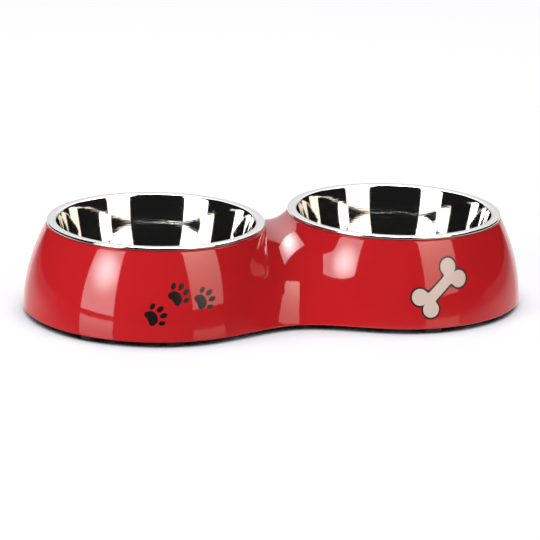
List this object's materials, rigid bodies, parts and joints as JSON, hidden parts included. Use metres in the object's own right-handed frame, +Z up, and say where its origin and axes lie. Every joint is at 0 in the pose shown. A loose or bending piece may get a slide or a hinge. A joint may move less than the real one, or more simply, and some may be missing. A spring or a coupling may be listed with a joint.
{
  "type": "double pet bowl",
  "caption": "Low glossy stand with a pinched waist holding lift-out polished steel bowls side by side, on rubber feet, for pet food and water.",
  "frame": {"origin": "on the floor under the middle of the stand, midway between the two bowl axes", "axes": "+X along the row of bowls towards the right bowl, -Y towards the front, +Z up along the bowl axes"},
  "size_m": [0.3392, 0.175, 0.0615],
  "materials": {
    "red_melamine": "gloss",
    "polished_steel": "polished",
    "black_rubber": "matte"
  },
  "bodies": {
    "stand": {"stand_shell": "red_melamine", "foot_left_end_front": "black_rubber", "foot_left_end_rear": "black_rubber", "foot_left_middle_front": "black_rubber", "foot_left_middle_rear": "black_rubber", "foot_right_end_front": "black_rubber", "foot_right_end_rear": "black_rubber", "foot_right_middle_front": "black_rubber", "foot_right_middle_rear": "black_rubber"},
    "left_bowl_body": {"left_bowl": "polished_steel"},
    "right_bowl_body": {"right_bowl": "polished_steel"}
  },
  "joints": [
    {"name": "left_bowl_lift", "type": "slide", "parent": "stand", "child": "left_bowl_body", "axis": [0, 0, 1], "range_m": [0, 0.07]},
    {"name": "right_bowl_lift", "type": "slide", "parent": "stand", "child": "right_bowl_body", "axis": [0, 0, 1], "range_m": [0, 0.07]}
  ]
}
